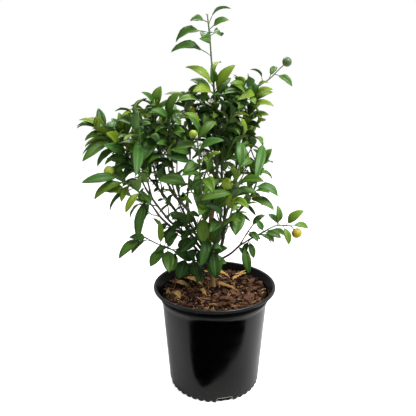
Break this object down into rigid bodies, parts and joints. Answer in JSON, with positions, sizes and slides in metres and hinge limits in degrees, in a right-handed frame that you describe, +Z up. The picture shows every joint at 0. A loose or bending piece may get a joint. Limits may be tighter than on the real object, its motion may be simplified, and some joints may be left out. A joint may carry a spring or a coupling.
{
  "type": "potted citrus shrub",
  "caption": "Young bushy citrus tree with glossy leaves and small round fruits, growing in a tapered black plastic nursery pot of bark mix.",
  "frame": {"origin": "centre of the pot's flat underside, on the ground", "axes": "+Z up the trunk, -Y towards the viewer, +X to the viewer's right"},
  "size_m": [0.495, 0.3137, 0.8326],
  "materials": {
    "pot": "black blow-moulded plastic with a soft sheen",
    "soil": "damp dark bark mix, matt",
    "trunk": "tan-brown young citrus bark, matt",
    "spray": "living green leaves and twigs, glossy on top",
    "green": "dark green citrus peel, satin",
    "lime": "yellow-green citrus peel, satin",
    "orange": "orange-yellow citrus peel, satin",
    "bud": "cream petals of a closed bud",
    "strip": "pale golden shredded wood",
    "leaf": "dry curled leaf, matt",
    "bark": "reddish-brown bark, matt"
  },
  "bodies": {
    "root": {"pot": "pot", "soil": "soil", "trunk": "trunk", "spray_leader": "spray", "spray_top_shoot": "spray", "spray_left_high": "spray", "spray_left_between": "spray", "spray_left_inner": "spray", "spray_left_back": "spray", "spray_left_back_upper": "spray", "spray_left_front": "spray", "spray_left_outer": "spray", "spray_left_middle": "spray", "spray_low_left": "spray", "spray_low_right": "spray", "spray_low_right_twig": "spray", "spray_low_centre": "spray", "spray_low_centre_left": "spray", "spray_left_low_twig": "spray", "spray_right_inner": "spray", "spray_right_high": "spray", "spray_back_middle": "spray", "spray_right_outer": "spray", "spray_front_left": "spray", "spray_front_right": "spray", "spray_back_left": "spray", "spray_back_right": "spray", "fruit_low_right": "orange", "fruit_top_right": "green", "fruit_front": "lime", "fruit_upper_front": "lime", "fruit_upper_left": "lime", "fruit_right": "lime", "fruit_left": "lime", "flower_bud": "bud", "wood_strip_1": "strip", "wood_strip_2": "strip", "wood_strip_3": "strip", "wood_strip_4": "strip", "wood_strip_5": "strip", "dry_leaf_1": "leaf", "dry_leaf_2": "leaf", "dry_leaf_3": "leaf", "bark_chip_1": "bark", "bark_chip_2": "bark", "bark_chip_3": "bark", "bark_chip_4": "bark"}
  },
  "joints": []
}
